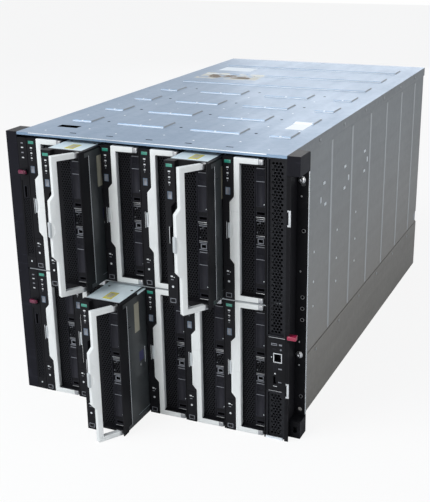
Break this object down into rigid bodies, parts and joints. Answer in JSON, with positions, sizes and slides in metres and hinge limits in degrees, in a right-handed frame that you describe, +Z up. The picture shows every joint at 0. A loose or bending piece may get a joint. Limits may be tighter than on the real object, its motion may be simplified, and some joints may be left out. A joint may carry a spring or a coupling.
{
  "type": "blade server chassis",
  "caption": "Rack-mounted blade server chassis with two rows of pull-out server blades, hinged ejector handles, slim appliance modules, a port panel and rear fan and power modules.",
  "frame": {"origin": "centre of the underside of the sheet-metal body, midway between its front plane and its back edge", "axes": "+X to the right seen from the front, +Y from the front to the back, +Z up"},
  "size_m": [0.4826, 0.9632, 0.4428],
  "materials": {
    "galvanised_cover": "galvanised sheet, satin",
    "side_steel": "galvanised sheet, dull mid grey",
    "base_steel": "galvanised sheet, bright",
    "inner_steel": "galvanised sheet, plain",
    "black_metal": "black powder coat",
    "black_plastic": "moulded, fine texture",
    "cap_plastic": "moulded, fine texture",
    "grille_metal": "black, perforated honeycomb",
    "case_steel": "zinc-coated sheet, satin",
    "handle_plastic": "light grey moulding",
    "release_plastic": "raspberry red moulding",
    "lever_plastic": "maroon moulding",
    "module_metal": "grey module fronts at the rear",
    "fan_plastic": "dark moulding",
    "supply_metal": "plain steel, grey",
    "board": "glass-fibre circuit board",
    "screw_steel": "bright zinc"
  },
  "bodies": {
    "chassis": {"base_pan": "base_steel", "top_cover": "galvanised_cover", "side_panel_left": "side_steel", "side_panel_right": "side_steel", "skirt_plates": "side_steel", "bay_shelf": "inner_steel", "bay_dividers": "inner_steel", "midplane_board": "board", "rear_frame": "inner_steel", "rack_ear_left": "black_metal", "rack_ear_right": "black_metal", "ear_cap_left": "cap_plastic", "ear_cap_right": "cap_plastic", "side_grilles": "grille_metal", "port_panel": "black_plastic", "interconnect_modules": "module_metal", "fan_modules": "fan_plastic", "power_supplies": "supply_metal", "body_screws": "screw_steel"},
    "blade_01": {"blade_01_case": "case_steel", "blade_01_bezel": "black_plastic"},
    "handle_01": {"blade_01_handle": "handle_plastic"},
    "blade_02": {"blade_02_case": "case_steel", "blade_02_bezel": "black_plastic"},
    "handle_02": {"blade_02_handle": "handle_plastic"},
    "blade_03": {"blade_03_case": "case_steel", "blade_03_bezel": "black_plastic"},
    "handle_03": {"blade_03_handle": "handle_plastic"},
    "blade_04": {"blade_04_case": "case_steel", "blade_04_bezel": "black_plastic"},
    "handle_04": {"blade_04_handle": "handle_plastic"},
    "blade_05": {"blade_05_case": "case_steel", "blade_05_bezel": "black_plastic"},
    "handle_05": {"blade_05_handle": "handle_plastic"},
    "blade_06": {"blade_06_case": "case_steel", "blade_06_bezel": "black_plastic"},
    "handle_06": {"blade_06_handle": "handle_plastic"},
    "blade_07": {"blade_07_case": "case_steel", "blade_07_bezel": "black_plastic"},
    "handle_07": {"blade_07_handle": "handle_plastic"},
    "blade_08": {"blade_08_case": "case_steel", "blade_08_bezel": "black_plastic"},
    "handle_08": {"blade_08_handle": "handle_plastic"},
    "blade_09": {"blade_09_case": "case_steel", "blade_09_bezel": "black_plastic"},
    "handle_09": {"blade_09_handle": "handle_plastic"},
    "blade_10": {"blade_10_case": "case_steel", "blade_10_bezel": "black_plastic"},
    "handle_10": {"blade_10_handle": "handle_plastic"},
    "blade_11": {"blade_11_case": "case_steel", "blade_11_bezel": "black_plastic"},
    "handle_11": {"blade_11_handle": "handle_plastic"},
    "blade_12": {"blade_12_case": "case_steel", "blade_12_bezel": "black_plastic"},
    "handle_12": {"blade_12_handle": "handle_plastic"},
    "appliance_upper": {"appliance_upper": "black_plastic"},
    "appliance_upper_lever": {"appliance_upper_lever": "lever_plastic"},
    "appliance_lower": {"appliance_lower": "black_plastic"},
    "appliance_lower_lever": {"appliance_lower_lever": "lever_plastic"},
    "port_panel_latch": {"port_panel_latch": "release_plastic"}
  },
  "joints": [
    {"name": "blade_01_slide", "type": "slide", "parent": "chassis", "child": "blade_01", "axis": [0, -1, 0], "range_m": [0, 0.56]},
    {"name": "blade_01_handle_hinge", "type": "hinge", "parent": "blade_01", "child": "handle_01", "pos_m": [-0.1465, -0.4148, 0.32512], "axis": [0, 0, 1], "range_deg": [0, 65]},
    {"name": "blade_02_slide", "type": "slide", "parent": "chassis", "child": "blade_02", "axis": [0, -1, 0], "range_m": [-0.058, 0.502]},
    {"name": "blade_02_handle_hinge", "type": "hinge", "parent": "blade_02", "child": "handle_02", "pos_m": [-0.0805, -0.4728, 0.32512], "axis": [0, 0, 1], "range_deg": [-56, 9]},
    {"name": "blade_03_slide", "type": "slide", "parent": "chassis", "child": "blade_03", "axis": [0, -1, 0], "range_m": [0, 0.56]},
    {"name": "blade_03_handle_hinge", "type": "hinge", "parent": "blade_03", "child": "handle_03", "pos_m": [-0.0145, -0.4148, 0.32512], "axis": [0, 0, 1], "range_deg": [0, 65]},
    {"name": "blade_04_slide", "type": "slide", "parent": "chassis", "child": "blade_04", "axis": [0, -1, 0], "range_m": [0, 0.56]},
    {"name": "blade_04_handle_hinge", "type": "hinge", "parent": "blade_04", "child": "handle_04", "pos_m": [0.0515, -0.4148, 0.32512], "axis": [0, 0, 1], "range_deg": [0, 65]},
    {"name": "blade_05_slide", "type": "slide", "parent": "chassis", "child": "blade_05", "axis": [0, -1, 0], "range_m": [-0.05, 0.51]},
    {"name": "blade_05_handle_hinge", "type": "hinge", "parent": "blade_05", "child": "handle_05", "pos_m": [0.1175, -0.4648, 0.32512], "axis": [0, 0, 1], "range_deg": [-56, 9]},
    {"name": "blade_06_slide", "type": "slide", "parent": "chassis", "child": "blade_06", "axis": [0, -1, 0], "range_m": [0, 0.56]},
    {"name": "blade_06_handle_hinge", "type": "hinge", "parent": "blade_06", "child": "handle_06", "pos_m": [0.1835, -0.4148, 0.32512], "axis": [0, 0, 1], "range_deg": [0, 65]},
    {"name": "blade_07_slide", "type": "slide", "parent": "chassis", "child": "blade_07", "axis": [0, -1, 0], "range_m": [0, 0.56]},
    {"name": "blade_07_handle_hinge", "type": "hinge", "parent": "blade_07", "child": "handle_07", "pos_m": [-0.1465, -0.4148, 0.10787], "axis": [0, 0, 1], "range_deg": [0, 65]},
    {"name": "blade_08_slide", "type": "slide", "parent": "chassis", "child": "blade_08", "axis": [0, -1, 0], "range_m": [0, 0.56]},
    {"name": "blade_08_handle_hinge", "type": "hinge", "parent": "blade_08", "child": "handle_08", "pos_m": [-0.0805, -0.4148, 0.10787], "axis": [0, 0, 1], "range_deg": [0, 65]},
    {"name": "blade_09_slide", "type": "slide", "parent": "chassis", "child": "blade_09", "axis": [0, -1, 0], "range_m": [-0.083, 0.477]},
    {"name": "blade_09_handle_hinge", "type": "hinge", "parent": "blade_09", "child": "handle_09", "pos_m": [-0.0145, -0.4978, 0.10787], "axis": [0, 0, 1], "range_deg": [-56, 9]},
    {"name": "blade_10_slide", "type": "slide", "parent": "chassis", "child": "blade_10", "axis": [0, -1, 0], "range_m": [0, 0.56]},
    {"name": "blade_10_handle_hinge", "type": "hinge", "parent": "blade_10", "child": "handle_10", "pos_m": [0.0515, -0.4148, 0.10787], "axis": [0, 0, 1], "range_deg": [0, 65]},
    {"name": "blade_11_slide", "type": "slide", "parent": "chassis", "child": "blade_11", "axis": [0, -1, 0], "range_m": [0, 0.56]},
    {"name": "blade_11_handle_hinge", "type": "hinge", "parent": "blade_11", "child": "handle_11", "pos_m": [0.1175, -0.4148, 0.10787], "axis": [0, 0, 1], "range_deg": [0, 65]},
    {"name": "blade_12_slide", "type": "slide", "parent": "chassis", "child": "blade_12", "axis": [0, -1, 0], "range_m": [0, 0.56]},
    {"name": "blade_12_handle_hinge", "type": "hinge", "parent": "blade_12", "child": "handle_12", "pos_m": [0.1835, -0.4148, 0.10787], "axis": [0, 0, 1], "range_deg": [0, 65]},
    {"name": "appliance_upper_slide", "type": "slide", "parent": "chassis", "child": "appliance_upper", "axis": [0, -1, 0], "range_m": [0, 0.52]},
    {"name": "appliance_upper_lever_hinge", "type": "hinge", "parent": "appliance_upper", "child": "appliance_upper_lever", "pos_m": [-0.2089, -0.424, 0.37895], "axis": [0, 0, 1], "range_deg": [0, 40]},
    {"name": "appliance_lower_slide", "type": "slide", "parent": "chassis", "child": "appliance_lower", "axis": [0, -1, 0], "range_m": [0, 0.52]},
    {"name": "appliance_lower_lever_hinge", "type": "hinge", "parent": "appliance_lower", "child": "appliance_lower_lever", "pos_m": [-0.2089, -0.424, 0.1617], "axis": [0, 0, 1], "range_deg": [0, 40]},
    {"name": "port_panel_latch_slide", "type": "slide", "parent": "chassis", "child": "port_panel_latch", "axis": [0, 0, -1], "range_m": [0, 0.004], "stiffness_N_per_m": 200, "springref_m": -0.002}
  ]
}
